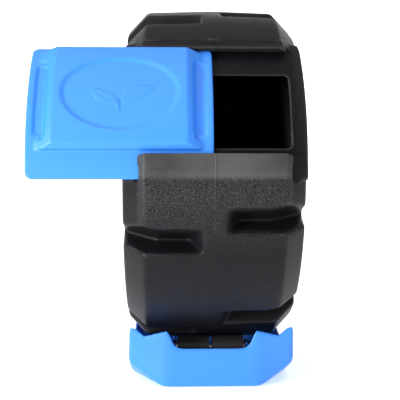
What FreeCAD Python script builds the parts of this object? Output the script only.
"""Wheel-shaped compost tumbler on a cradle base, as a parametric FreeCAD document.

Millimetres, +Z up. The drum turns about an axle line parallel to X, the front is -Y, and the origin
is on the floor under the middle of the base. Angles on the drum, called "lift", are in degrees above
the horizontal on the front side and go on over the top towards the back.

Drum pieces are drawn about the X axis and then raised to the axle height. Their outlines are drawn
in the sketch plane as (x, radius).
"""

import FreeCAD
import Part

import math
import os
import re

import Sketcher

X_AXIS = FreeCAD.Vector(1, 0, 0)
Y_AXIS = FreeCAD.Vector(0, 1, 0)
Z_AXIS = FreeCAD.Vector(0, 0, 1)
ORIGIN = FreeCAD.Vector(0, 0, 0)

# ---------------------------------------------------------------------------------------------
# Driving dimensions
# ---------------------------------------------------------------------------------------------

SIZES = {
    # drum: a wide tyre-like wheel with crowned tread, chamfered shoulders and dished sides
    "axle_height": 427.0,
    "tread_radius": 360.0,
    "crown_drop": 4.0,
    "tread_half": 131.0,
    "drum_half": 173.0,
    "side_radius": 312.0,
    "rim_radius": 262.0,
    "dish_radius": 238.0,
    "dish_depth": 22.0,
    "hub_radius": 84.0,
    "hub_rise": 12.0,
    "drum_wall": 5.0,
    # tread pockets, which are the mixing fins inside
    "pocket_start": 19.5,
    "pocket_floor_start": 46.0,
    "pocket_shoulder": 106.0,
    "pocket_side_recess": 6.5,
    "pocket_side_tilt": 13.0,
    "pocket_floor": 312.0,
    "pocket_side_floor": 271.0,
    "pocket_floor_half": 3.5,
    "pocket_mouth_half": 27.5,
    "pocket_lean_right": 11.5,
    "pocket_lean_left": 17.0,
    "pocket_top": 380.0,
    "pocket_pitch_right": 39.43,
    "pocket_first_right": -13.35,
    "pocket_pitch_left": 46.2,
    "pocket_first_left": -19.6,
    # door track across the tread
    "track_radius": 332.0,
    "slot_depth": 10.0,
    "track_low": -1.6,
    "track_high": 52.0,
    "slot_high": 47.2,
    "lip_low": 6.6,
    "lip_high": 44.5,
    "lip_step": 7.0,
    "mouth_low": 8.9,
    "mouth_high": 35.3,
    "mouth_half": 140.5,
    "mouth_round": 5.0,
    # door, drawn half open
    "door_middle": -175.0,
    "door_half": 173.0,
    "door_low": -1.2,
    "door_high": 46.4,
    "door_play": 0.8,
    "door_flange": 8.0,
    "door_round": 14.0,
    "panel_radius": 358.0,
    "panel_foot_half": 158.0,
    "panel_step": 34.0,
    "panel_low": 7.9,
    "panel_high": 43.8,
    "panel_bevel": 10.0,
    "panel_top_bevel": 2.0,
    "panel_roof": 9.0,
    "panel_wall": 6.0,
    "oval_half_length": 112.0,
    "oval_half_height": 78.0,
    "oval_depth": 4.5,
    "oval_bevel": 9.0,
    "oval_crown_spread": 17.0,
    "oval_lift": 26.0,
    "groove_depth": 4.0,
    "groove_inside": 132.0,
    "groove_outside": 164.0,
    "groove_slope": 8.0,
    "groove_low": 11.0,
    "groove_high": 39.0,
    # side vents
    "vent_radius": 47.5,
    "vent_rim": 57.0,
    "vent_cap_thick": 3.0,
    "vent_skirt": 16.0,
    "vent_fit": 0.1,
    "screen_thick": 1.0,
    # base tray
    "base_half_length": 212.0,
    "base_shoulder_length": 181.0,
    "base_shoulder_lean": 18.0,
    "base_half_width": 172.0,
    "nose_half": 95.0,
    "base_draft": 6.0,
    "base_wall": 6.0,
    "cradle_radius": 364.0,
    "peak_height": 122.0,
    "peak_half": 153.0,
    "valley_height": 104.0,
    "valley_half": 137.0,
    "horn_height": 116.5,
    "horn_half": 90.0,
    "scoop_height": 82.0,
    "scoop_half": 64.0,
    "keel_side_length": 57.0,
    "keel_rise": 48.0,
    # rollers and axles
    "roller_angle": 20.0,
    "roller_radius": 24.0,
    "roller_gap": 0.35,
    "roller_length": 66.0,
    "roller_inset": 3.0,
    "axle_radius": 6.0,
    "axle_half": 89.0,
    "bush_radius": 9.0,
    "bush_length": 14.0,
    "running_fit": 0.05,
    "washer_thick": 1.8,
    "washer_radius": 13.0,
    "rib_thick": 8.0,
    "rib_half": 21.0,
    "rib_top": 17.0,
    "nut_thick": 4.0,
    "nut_radius": 11.0,
    # drain
    "drain_radius": 12.0,
    "drain_height": 32.0,
    "drain_cap_radius": 19.0,
    "drain_cap_thick": 9.0,
    "gasket_thick": 2.0,
}

doc = FreeCAD.newDocument("compost_tumbler")
sheet = doc.addObject("Spreadsheet::Sheet", "Sizes")
for row, (alias, number) in enumerate(SIZES.items(), start=1):
    sheet.set(f"A{row}", alias)
    sheet.set(f"B{row}", str(number))
    sheet.setAlias(f"B{row}", alias)
doc.recompute()

NODES = []


def bound(text):
    """Point every size named in an expression at its cell of the sheet."""
    return re.sub(r"[a-z_]+", lambda word: f"Sizes.{word[0]}" if word[0] in SIZES else word[0], text)


def value(text):
    """Work out an expression of named sizes as a number."""
    answer = sheet.evalExpression(bound(str(text)))
    return float(getattr(answer, "Value", answer))


def bind(thing, **properties):
    """Bind properties to expressions of named sizes; "__" in a name stands for a dot."""
    for name, text in properties.items():
        thing.setExpression(name.replace("__", "."), bound(str(text)))
    return thing


def node(thing, name, raised=False):
    """Name a finished sub-part, which is written to its own file, and raise a drum piece."""
    thing.Label = name
    if raised:
        bind(thing, Placement__Base__z="axle_height")
    NODES.append(thing)
    return thing


# ---------------------------------------------------------------------------------------------
# Drawing helpers
# ---------------------------------------------------------------------------------------------


def outline(name, corners):
    """Closed sketch through corners whose coordinates are expressions of named sizes."""
    sketch = doc.addObject("Sketcher::SketchObject", name)
    points = [FreeCAD.Vector(value(across), value(up), 0) for across, up in corners]
    count = len(points)
    for index in range(count):
        sketch.addGeometry(Part.LineSegment(points[index], points[(index + 1) % count]), False)
    for index in range(count):
        sketch.addConstraint(Sketcher.Constraint("Coincident", index, 2, (index + 1) % count, 1))
    for index, corner in enumerate(corners):
        for kind, axis, text in (("DistanceX", -2, corner[0]), ("DistanceY", -1, corner[1])):
            if value(text) == 0:
                sketch.addConstraint(Sketcher.Constraint("PointOnObject", index, 1, axis))
                continue
            rule = Sketcher.Constraint(kind, -1, 1, index, 1, value(text))
            place = sketch.addConstraint(rule)
            sketch.setExpression(f"Constraints[{place}]", bound(str(text)))
    return sketch


def ring(name, corners, low="0", high="360"):
    """Turn an (x, radius) outline about the X axis, from one lift to another."""
    turned = doc.addObject("Part::Revolution", name)
    turned.Source = outline(f"{name}_outline", corners)
    turned.Axis = -X_AXIS
    turned.Base = ORIGIN
    turned.Solid = True
    turned.Placement = FreeCAD.Placement(ORIGIN, FreeCAD.Rotation(X_AXIS, 90))
    return bind(turned, Angle=f"({high}) - ({low})", Placement__Rotation__Angle=f"180 - ({low})")


def band(name, inner, outer, left, right, low="0", high="360"):
    """Ring of rectangular section between two radii and two x positions."""
    return ring(name, [(left, inner), (right, inner), (right, outer), (left, outer)], low, high)


def cut(name, base, *tools):
    """Take one or more tools away from a base."""
    result = doc.addObject("Part::Cut", name)
    result.Base = base
    result.Tool = tools[0] if len(tools) == 1 else compound(f"{name}_tools", tools)
    return result


def compound(name, things):
    """Hold several shapes as one, for cutting or as a group of identical pieces."""
    group = doc.addObject("Part::Compound", name)
    group.Links = list(things)
    return group


def fuse(name, *things):
    """Join shapes into one solid."""
    result = doc.addObject("Part::MultiFuse", name)
    result.Shapes = list(things)
    result.Refine = True
    return result


def copies(name, thing, places):
    """Linked copies of a shape, each at (x, y, z, turn about X) given as expressions."""
    links = []
    for index, (across, along, up, turn) in enumerate(places):
        link = doc.addObject("App::Link", f"{name}_{index}")
        link.LinkedObject = thing
        link.LinkTransform = True
        link.Placement = FreeCAD.Placement(ORIGIN, FreeCAD.Rotation(X_AXIS, 90))
        bind(link, Placement__Base__x=across, Placement__Base__y=along, Placement__Base__z=up)
        bind(link, Placement__Rotation__Angle=turn)
        links.append(link)
    return links


def tube(name, outer, inner, left, right):
    """Ring about the X axis; with no inner radius it is a plain rod."""
    rod = doc.addObject("Part::Cylinder", f"{name}_rod" if inner else name)
    rod.Placement = FreeCAD.Placement(ORIGIN, FreeCAD.Rotation(Y_AXIS, 90))
    bind(rod, Radius=outer, Height=f"({right}) - ({left})", Placement__Base__x=left)
    if not inner:
        return rod
    bore = doc.addObject("Part::Cylinder", f"{name}_bore")
    bore.Placement = FreeCAD.Placement(ORIGIN, FreeCAD.Rotation(Y_AXIS, 90))
    bind(bore, Radius=inner, Height=f"({right}) - ({left}) + 2", Placement__Base__x=f"({left}) - 1")
    return cut(name, rod, bore)


def block(name, width, length, height, across, along, up):
    """Box centred on x and y, standing on a height."""
    box = doc.addObject("Part::Box", name)
    bind(box, Length=width, Width=length, Height=height)
    bind(
        box,
        Placement__Base__x=f"({across}) - ({width}) / 2",
        Placement__Base__y=f"({along}) - ({length}) / 2",
        Placement__Base__z=up,
    )
    return box


def edges_where(thing, test):
    """Numbers of the edges of a shape that pass a test on their two ends."""
    doc.recompute()
    found = []
    for number, edge in enumerate(thing.Shape.Edges, start=1):
        ends = [vertex.Point for vertex in edge.Vertexes]
        if len(ends) == 2 and test(*ends):
            found.append(number)
    return found


def blended(kind, name, thing, test, size):
    """Fillet or chamfer the edges that pass a test."""
    result = doc.addObject(f"Part::{kind}", name)
    result.Base = thing
    result.Edges = [(number, value(size), value(size)) for number in edges_where(thing, test)]
    return result


def is_radial(start, end):
    """True for an edge that keeps its x and points at the X axis."""
    across = abs(start.x - end.x) < 0.01
    around = abs(start.y * end.z - start.z * end.y) < 0.5
    return across and around


# ---------------------------------------------------------------------------------------------
# Drum shell
# ---------------------------------------------------------------------------------------------


def drum_outline(inset):
    """Half section of the drum, mirrored about x = 0, a given inset inside the outer skin."""
    right = [
        ("0", f"tread_radius - ({inset})"),
        (f"tread_half - 0.4 * ({inset})", f"tread_radius - crown_drop - ({inset})"),
        (f"drum_half - ({inset})", f"side_radius - 0.4 * ({inset})"),
        (f"drum_half - ({inset})", f"rim_radius + 0.4 * ({inset})"),
        (f"drum_half - dish_depth - ({inset})", f"dish_radius + 0.4 * ({inset})"),
        (f"drum_half - dish_depth - ({inset})", f"hub_radius + hub_rise * 1.3 - 0.3 * ({inset})"),
        (f"drum_half - dish_depth + hub_rise - ({inset})", f"hub_radius - 0.3 * ({inset})"),
        (f"drum_half - dish_depth + hub_rise - ({inset})", "0"),
    ]
    left = [(f"-({across})", up) for across, up in right[:0:-1]]
    return right + left


def pocket_section(name, across, tilt, floor, spans):
    """Trapezoid across a pocket, in the plane at one x, narrow at the pocket's floor.

    The spans are the floor's low and high edge and the mouth's low and high edge. A tilted plane
    lies deeper at the pocket's upper edge.
    """
    floor_low, floor_high, mouth_low_edge, mouth_high_edge = spans
    corners = [
        (floor_low, floor),
        (floor_high, floor),
        (mouth_high_edge, "pocket_top"),
        (mouth_low_edge, "pocket_top"),
    ]
    sketch = outline(name, corners)
    sketch.Placement = FreeCAD.Placement(ORIGIN, FreeCAD.Rotation(Y_AXIS, 90))
    return bind(sketch, Placement__Base__x=across, Placement__Rotation__Angle=f"90 + {tilt}")


def pocket(name, grow, lean):
    """Solid that fills one right-hand tread pocket, grown by a wall thickness for the fin inside.

    Its narrow floor leans to the pocket's lower edge. It is level under the tread, follows the
    shoulder down and ends as a shallow recess in the drum's side.
    """
    half = f"pocket_floor_half + ({grow})"
    wide = f"pocket_mouth_half + ({grow})"
    narrow = (f"-({half}) - {lean}", f"({half}) - {lean}")
    open_end = (f"1 - ({wide})", f"({wide}) - 1")
    sections = [
        ("pocket_start", "0", "tread_radius + 1", open_end + (f"-({wide}) - 4", f"({wide}) + 4")),
        ("pocket_floor_start", "0", "pocket_floor", narrow + (f"-({wide}) - 3", f"({wide}) + 15")),
        ("pocket_shoulder", "0", "pocket_floor", narrow + (f"-({wide}) - 4", f"({wide}) + 16")),
        (
            "drum_half - pocket_side_recess",
            "pocket_side_tilt",
            "pocket_side_floor",
            narrow + (f"-({wide}) - 6", f"({wide}) + 24"),
        ),
        (
            "drum_half + 20",
            "pocket_side_tilt",
            "pocket_side_floor",
            narrow + (f"-({wide}) - 8", f"({wide}) + 28"),
        ),
    ]
    loft = doc.addObject("Part::Loft", name)
    loft.Sections = [
        pocket_section(
            f"{name}_section_{index}",
            f"({across}) - ({grow})" if index < 4 else across,
            tilt,
            f"({floor}) - ({grow})",
            spans,
        )
        for index, (across, tilt, floor, spans) in enumerate(sections)
    ]
    loft.Solid = True
    loft.Ruled = True
    return loft


def mirrored(name, thing):
    """The same shape on the other side of x = 0."""
    copy = doc.addObject("Part::Mirroring", name)
    copy.Source = thing
    copy.Normal = X_AXIS
    return copy


RIGHT_POCKETS = 8
LEFT_POCKETS = 7


def all_pockets(name, grow):
    """Every pocket round the drum: the two rows are staggered and leave the door's place free."""
    right = pocket(f"{name}_right", grow, "pocket_lean_right")
    left = mirrored(f"{name}_left", pocket(f"{name}_left_source", grow, "pocket_lean_left"))
    right_turns = [f"180 - pocket_first_right + {k} * pocket_pitch_right" for k in range(RIGHT_POCKETS)]
    left_turns = [f"180 - pocket_first_left + {k} * pocket_pitch_left" for k in range(LEFT_POCKETS)]
    places = [[("0", "0", "0", turn) for turn in turns] for turns in (right_turns, left_turns)]
    rows = copies(f"{name}_row_right", right, places[0]) + copies(f"{name}_row_left", left, places[1])
    return rows


def drum_shell():
    """Rotationally moulded drum: skin, tread pockets, door track, mouth and vent holes."""
    wide = "drum_half + 30"
    skin = ring("drum_skin", drum_outline("0"))
    bed = band(
        "track_bed", "rim_radius + 20", "track_radius", "-drum_half", "drum_half", "track_low", "track_high"
    )
    slot = band(
        "track_slot", "track_radius", "track_radius + slot_depth", f"-({wide})", wide, "track_low", "slot_high"
    )
    gap = band(
        "lip_gap", "track_radius + slot_depth - 1", "pocket_top", f"-({wide})", wide, "lip_low", "lip_high"
    )
    step = band(
        "upper_lip_step", "tread_radius - lip_step", "pocket_top", f"-({wide})", wide, "lip_high - 1", "slot_high"
    )
    outside = cut("drum_outside", fuse("drum_body", skin, bed), slot, gap, step, *all_pockets("pocket", "0"))

    cavity = ring("drum_cavity", drum_outline("drum_wall"))
    track_room = band(
        "track_room",
        "track_radius - drum_wall",
        "pocket_top",
        f"-({wide})",
        wide,
        "track_low - 0.9",
        "slot_high + 0.9",
    )
    hollow = cut("drum_hollow", cavity, track_room, *all_pockets("fin", "drum_wall"))

    mouth_block = band(
        "mouth_block", "rim_radius + 30", "track_radius + 5", "-mouth_half", "mouth_half", "mouth_low", "mouth_high"
    )
    mouth = blended("Fillet", "mouth", mouth_block, is_radial, "mouth_round")
    vents = tube("vent_bores", "vent_radius", None, f"-({wide})", wide)
    return node(cut("drum_shell", outside, hollow, mouth, vents), "drum_shell", raised=True)


# ---------------------------------------------------------------------------------------------
# Sliding door
# ---------------------------------------------------------------------------------------------


def sliding_door():
    """Curved door: thin flange that runs in the slots, raised hollow panel and an oval recess."""
    inner = "track_radius + door_play"
    outer = "track_radius + door_play + door_flange"
    left = "door_middle - door_half"
    right = "door_middle + door_half"
    flange_block = band("flange_block", inner, outer, left, right, "door_low", "door_high")
    flange = blended("Fillet", "door_flange_plate", flange_block, is_radial, "door_round")
    panel_outline = [
        ("door_middle - panel_foot_half", f"{outer} - 2"),
        ("door_middle + panel_foot_half", f"{outer} - 2"),
        ("door_middle + panel_foot_half - panel_step", "panel_radius"),
        ("door_middle - panel_foot_half + panel_step", "panel_radius"),
    ]
    panel_block = ring("panel_block", panel_outline, "panel_low", "panel_high")

    def is_long_edge(start, end):
        along = abs(start.x - end.x) > value("panel_foot_half")
        return along and math.hypot(start.y, start.z) > value("panel_radius - 1")

    def is_lower_edge(start, end):
        return is_long_edge(start, end) and start.z < value("panel_radius / 2")

    def is_upper_edge(start, end):
        return is_long_edge(start, end) and start.z > value("panel_radius / 2")

    lower_bevel = blended("Chamfer", "panel_lower_bevel", panel_block, is_lower_edge, "panel_bevel")
    panel = blended("Chamfer", "door_panel", lower_bevel, is_upper_edge, "panel_top_bevel")
    under = band(
        "panel_hollow",
        "track_radius - 5",
        "panel_radius - panel_roof",
        "door_middle - panel_foot_half + panel_step + panel_wall",
        "door_middle + panel_foot_half - panel_step - panel_wall",
        "panel_low + 2.8",
        "panel_high - 2.8",
    )
    grooves = []
    for side, sign in (("left", "-"), ("right", "")):
        deep = ("deep", "0", "groove_low + 1.6", "groove_high - 1.6")
        steps = (deep, ("end", "3.5", "groove_low", "groove_high"))
        for step, shy, low, high in steps:
            groove_outline = [
                (f"door_middle + {sign}(groove_inside + {shy})", "panel_radius + 2"),
                (f"door_middle + {sign}(groove_inside + groove_slope)", f"{outer} - groove_depth + {shy}"),
                (f"door_middle + {sign}(groove_outside - groove_slope)", f"{outer} - groove_depth + {shy}"),
                (f"door_middle + {sign}(groove_outside - {shy})", f"{outer} + 3.2"),
                (f"door_middle + {sign}(groove_outside - {shy})", "panel_radius + 2"),
            ]
            grooves.append(ring(f"{side}_groove_{step}", groove_outline, low, high))

    # oval recess: a tapered elliptical plug, kept only above the recess floor; the plug is taller
    # than the oval, because it narrows where the crowned panel falls away from it
    ovals = []
    slope = "oval_bevel / oval_depth"
    for name, depth in (("oval_deep", "24"), ("oval_high", "-12")):
        oval = doc.addObject("Part::Ellipse", name)
        oval.Placement = FreeCAD.Placement(ORIGIN, FreeCAD.Rotation(X_AXIS, -90))
        spread = f"({depth}) * {slope}"
        bind(oval, MajorRadius=f"oval_half_length - {spread}")
        bind(oval, MinorRadius=f"oval_half_height + oval_crown_spread - {spread}")
        bind(oval, Placement__Base__y=f"panel_radius - ({depth})")
        ovals.append(oval)
    plug = doc.addObject("Part::Loft", "oval_plug")
    plug.Sections = ovals
    plug.Solid = True
    plug.Ruled = True
    plug.Placement = FreeCAD.Placement(ORIGIN, FreeCAD.Rotation(X_AXIS, 90))
    bind(plug, Placement__Rotation__Angle="180 - oval_lift", Placement__Base__x="door_middle")
    floor_room = band(
        "oval_floor_room", "panel_radius - oval_depth", "panel_radius + 20", left, right, "door_low", "door_high"
    )
    oval = doc.addObject("Part::Common", "oval_recess")
    oval.Base = plug
    oval.Tool = floor_room
    body = fuse("door_body", flange, panel)
    return node(cut("sliding_door", body, under, oval, *grooves), "sliding_door", raised=True)


# ---------------------------------------------------------------------------------------------
# Side vents
# ---------------------------------------------------------------------------------------------

SIDES = (("left", "-1"), ("right", "1"))
LOUVRES = 5


def vent(side, sign):
    """Louvred cap pushed into a hub hole, with an insect screen held in its skirt."""
    face = "drum_half - dish_depth + hub_rise"

    def at(text):
        return f"{sign} * ({text})"

    cap_outline = [
        (at(f"{face} + vent_cap_thick"), "0"),
        (at(f"{face} + vent_cap_thick"), "vent_rim - 2"),
        (at(face), "vent_rim"),
        (at(face), "vent_radius - vent_fit"),
        (at(f"{face} - vent_skirt"), "vent_radius - vent_fit - 1"),
        (at(f"{face} - vent_skirt"), "vent_radius - 4"),
        (at(face), "vent_radius - 4"),
        (at(face), "0"),
    ]
    cap = ring(f"{side}_cap_disc", cap_outline)
    slots = []
    for index in range(LOUVRES):
        offset = f"{index - (LOUVRES - 1) / 2} * 14"
        length = f"sqrt((vent_radius - 9) ^ 2 - ({offset}) ^ 2) * 2"
        up = f"({offset}) - 2.5"
        slots.append(block(f"{side}_louvre_{index}", "12", length, "5", at(f"{face} + 2"), "0", up))
    node(cut(f"{side}_vent_cap", cap, *slots), f"{side}_vent_cap", raised=True)
    near, far = f"{face} - vent_skirt + 3", f"{face} - vent_skirt + 3 + screen_thick"
    ends = (at(near), at(far)) if sign == "1" else (at(far), at(near))
    node(tube(f"{side}_vent_screen", "vent_radius - 4", None, *ends), f"{side}_vent_screen", raised=True)


# ---------------------------------------------------------------------------------------------
# Base tray
# ---------------------------------------------------------------------------------------------


def plan(name, height, inset):
    """Eight-sided plan of the base at one height; its sides draw in and its facets lean out."""
    share = f"({height}) / peak_height"
    nose = f"nose_half - base_draft * {share} - 0.45 * ({inset})"
    side = f"base_half_width - base_draft * {share} - ({inset})"
    far = f"base_half_length - ({inset})"
    near = f"base_shoulder_length + base_shoulder_lean * {share} - 0.75 * ({inset})"
    quarter = [(nose, far), (side, near)]
    corners = quarter
    corners = corners + [(across, f"-({along})") for across, along in quarter[::-1]]
    corners = corners + [(f"-({across})", f"-({along})") for across, along in quarter]
    corners = corners + [(f"-({across})", along) for across, along in quarter[::-1]]
    return bind(outline(name, corners), Placement__Base__z=height)


def keel_cuts(name, inset):
    """Four corner cuts that lift the base's corners off the floor, as slabs on sloping planes."""
    start = FreeCAD.Vector(value("nose_half"), value("base_half_length"), 0)
    side = FreeCAD.Vector(value("base_half_width"), value("keel_side_length"), 0)
    high = FreeCAD.Vector(value("base_half_width"), value("base_shoulder_length"), value("keel_rise"))
    outward = (side - start).cross(high - start)
    outward = outward if outward.z < 0 else -outward
    outward.normalize()
    slabs = []
    for across in (1, -1):
        for along in (1, -1):
            facing = FreeCAD.Vector(outward.x * across, outward.y * along, outward.z)
            foot = FreeCAD.Vector(start.x * across, start.y * along, 0) - facing * inset
            slab = doc.addObject("Part::Cylinder", f"{name}_{len(slabs)}")
            bind(slab, Radius="base_half_length * 2", Height="base_half_length")
            slab.Placement = FreeCAD.Placement(foot, FreeCAD.Rotation(Z_AXIS, facing))
            slabs.append(slab)
    return slabs


def hull(name, floor, inset):
    """Drafted block of the base's plan, from a floor height up to just past the peaks."""
    loft = doc.addObject("Part::Loft", f"{name}_block")
    loft.Sections = [
        plan(f"{name}_low_plan", floor, inset),
        plan(f"{name}_high_plan", "peak_height + 1", inset),
    ]
    loft.Solid = True
    loft.Ruled = True
    return cut(name, loft, *keel_cuts(f"{name}_keel", value(inset)))


def rim_cut():
    """Everything above the base's rim line, which is the same along the whole base."""
    right = [
        ("scoop_half", "scoop_height"),
        ("scoop_half + (horn_half - scoop_half) * 0.45", "scoop_height + (horn_height - scoop_height) * 0.2"),
        ("scoop_half + (horn_half - scoop_half) * 0.78", "scoop_height + (horn_height - scoop_height) * 0.72"),
        ("horn_half", "horn_height"),
        ("valley_half", "valley_height"),
        ("peak_half", "peak_height - 2.5"),
        ("base_half_width", "peak_height"),
        ("base_half_width + 30", "peak_height"),
        ("base_half_width + 30", "peak_height * 3"),
    ]
    left = [(f"-({across})", up) for across, up in right[::-1]]
    sketch = outline("rim_outline", right + left)
    sketch.Placement = FreeCAD.Placement(ORIGIN, FreeCAD.Rotation(X_AXIS, 90))
    prism = doc.addObject("Part::Extrusion", "rim_cut")
    prism.Base = sketch
    prism.DirMode = "Normal"
    prism.Symmetric = True
    prism.Solid = True
    return bind(prism, LengthFwd="base_half_length * 3")


ROLLER_CENTRE = "tread_radius + roller_gap + roller_radius"
ROLLER_ALONG = f"({ROLLER_CENTRE}) * sin(roller_angle)"
ROLLER_UP = f"axle_height - ({ROLLER_CENTRE}) * cos(roller_angle)"
RIB_ACROSS = "roller_inset + roller_length + washer_thick + 0.6 + rib_thick / 2"
ENDS = (("front", "-1"), ("rear", "1"))


def base_tray():
    """Moulded tray: drafted walls, cradle cut for the drum, axle saddles and the drain hole."""
    outer = hull("base_hull", "0", "0")
    inner = hull("base_inside", "base_wall", "base_wall")
    cradle = tube("cradle_cut", "cradle_radius", None, "-base_half_width * 2", "base_half_width * 2")
    bind(cradle, Placement__Base__z="axle_height")
    shell = cut("base_walls", outer, inner)
    ribs = []
    saddles = []
    for end, way in ENDS:
        along = f"{way} * ({ROLLER_ALONG})"
        for side, sign in SIDES:
            across = f"{sign} * ({RIB_ACROSS})"
            top = f"({ROLLER_UP}) + rib_top - base_wall / 2"
            ribs.append(block(f"{end}_{side}_rib", "rib_thick", "rib_half * 2", top, across, along, "base_wall / 2"))
        slot = "axle_radius * 2"
        saddles.append(block(f"{end}_saddle", "axle_half * 2 + 4", slot, "60", "0", along, ROLLER_UP))
        bed = tube(f"{end}_saddle_bed", "axle_radius", None, "-axle_half - 2", "axle_half + 2")
        saddles.append(bind(bed, Placement__Base__y=along, Placement__Base__z=ROLLER_UP))
    drain = doc.addObject("Part::Cylinder", "drain_bore")
    drain.Placement = FreeCAD.Placement(ORIGIN, FreeCAD.Rotation(X_AXIS, -90))
    bind(drain, Radius="drain_radius", Height="base_wall * 4")
    bind(drain, Placement__Base__y="base_half_length - base_wall * 2", Placement__Base__z="drain_height")
    whole = fuse("base_with_ribs", shell, *ribs)
    return node(cut("base_tray", whole, cradle, rim_cut(), drain, *saddles), "base_tray")


# ---------------------------------------------------------------------------------------------
# Rollers, axles and what holds them
# ---------------------------------------------------------------------------------------------


def at_axle(thing, way):
    """Move a piece drawn about the X axis onto the front or the rear axle."""
    return bind(thing, Placement__Base__y=f"{way} * ({ROLLER_ALONG})", Placement__Base__z=ROLLER_UP)


def roller(end, way, side, sign):
    """Wide moulded roller with two pressed bushes, turning on the fixed axle."""
    near = "roller_inset"
    far = "roller_inset + roller_length"
    spans = [(near, far), (near, "roller_inset + bush_length"), (f"{far} - bush_length", far)]
    if sign == "-1":
        spans = [(f"-({right})", f"-({left})") for left, right in spans]
    name = f"{end}_{side}"
    wheel = tube(f"{name}_wheel", "roller_radius", "bush_radius", *spans[0])
    node(at_axle(wheel, way), f"{name}_roller")
    bore = "axle_radius + running_fit"
    bushes = [tube(f"{name}_bush_{k}", "bush_radius", bore, *spans[k + 1]) for k in range(2)]
    node(at_axle(compound(f"{name}_bushes", bushes), way), f"{name}_bushes")


def axle_sets():
    """Two axles, eight washers, push nuts and saddle clips, each kind as one group."""
    washers = []
    nuts = []
    clips = []
    for end, way in ENDS:
        node(at_axle(tube(f"{end}_axle", "axle_radius", None, "-axle_half", "axle_half"), way), f"{end}_axle")
        for side, sign in SIDES:
            inside = f"{sign} * (roller_inset + roller_length + 0.3 + washer_thick / 2)"
            outside = f"{sign} * ({RIB_ACROSS} + rib_thick / 2 + nut_thick / 2)"
            washer = tube(
                f"{end}_{side}_washer",
                "washer_radius",
                "axle_radius",
                f"{inside} - washer_thick / 2",
                f"{inside} + washer_thick / 2",
            )
            nut = tube(
                f"{end}_{side}_nut",
                "nut_radius",
                "axle_radius",
                f"{outside} - nut_thick / 2",
                f"{outside} + nut_thick / 2",
            )
            washers.append(at_axle(washer, way))
            nuts.append(at_axle(nut, way))
            across = f"{sign} * ({RIB_ACROSS})"
            along = f"{way} * ({ROLLER_ALONG})"
            plug = block(
                f"{end}_{side}_clip_plug", "rib_thick", "axle_radius * 2", "rib_top - 4", across, along, ROLLER_UP
            )
            bed = tube(f"{end}_{side}_clip_bed", "axle_radius", None, "-axle_half", "axle_half")
            clips.append(cut(f"{end}_{side}_clip", plug, at_axle(bed, way)))
    node(compound("roller_washers", washers), "roller_washers")
    node(compound("axle_push_nuts", nuts), "axle_push_nuts")
    node(compound("saddle_clips", clips), "saddle_clips")


# ---------------------------------------------------------------------------------------------
# Drain
# ---------------------------------------------------------------------------------------------


def drain():
    """Turned bung with a finger bar and its flat gasket, in the rear wall."""
    turned = FreeCAD.Placement(ORIGIN, FreeCAD.Rotation(X_AXIS, -90))

    def disc(name, radius, start, length):
        cylinder = doc.addObject("Part::Cylinder", name)
        cylinder.Placement = turned
        bind(cylinder, Radius=radius, Height=length, Placement__Base__z="drain_height")
        return bind(cylinder, Placement__Base__y=f"base_half_length + ({start})")

    face = disc("drain_cap_face", "drain_cap_radius", "gasket_thick", "drain_cap_thick")
    shank = disc("drain_cap_shank", "drain_radius - 0.4", "-base_wall - 5", "base_wall + gasket_thick + 6")
    along = "base_half_length + gasket_thick + drain_cap_thick + 3"
    bar = block("drain_cap_bar", "drain_cap_radius * 1.6", "8", "7", "0", along, "drain_height - 3.5")
    node(fuse("drain_cap", face, shank, bar), "drain_cap")
    seal = disc("gasket_disc", "drain_cap_radius - 2", "0", "gasket_thick - 0.05")
    hole = disc("gasket_hole", "drain_radius", "-1", "gasket_thick + 2")
    node(cut("drain_gasket", seal, hole), "drain_gasket")


# ---------------------------------------------------------------------------------------------
# Build, check and write
# ---------------------------------------------------------------------------------------------

drum_shell()
sliding_door()
for side, sign in SIDES:
    vent(side, sign)
base_tray()
for end, way in ENDS:
    for side, sign in SIDES:
        roller(end, way, side, sign)
axle_sets()
drain()
doc.recompute()

for thing in doc.Objects:
    if "Invalid" in thing.State or "Error" in thing.State:
        raise RuntimeError(f"{thing.Name} failed: {thing.State}")
os.makedirs("parts", exist_ok=True)
for thing in NODES:
    shape = thing.Shape
    if shape.isNull() or not shape.isValid():
        raise RuntimeError(f"{thing.Label} has no valid shape")
    shape.exportStep(f"parts/{thing.Label}.step")
    box = shape.BoundBox
    extent = f"x {box.XMin:.1f}..{box.XMax:.1f}  y {box.YMin:.1f}..{box.YMax:.1f}  z {box.ZMin:.1f}..{box.ZMax:.1f}"
    print(f"{thing.Label:22s} {len(shape.Solids)} solid(s)  {shape.Volume / 1000:9.1f} cm3  {extent}")
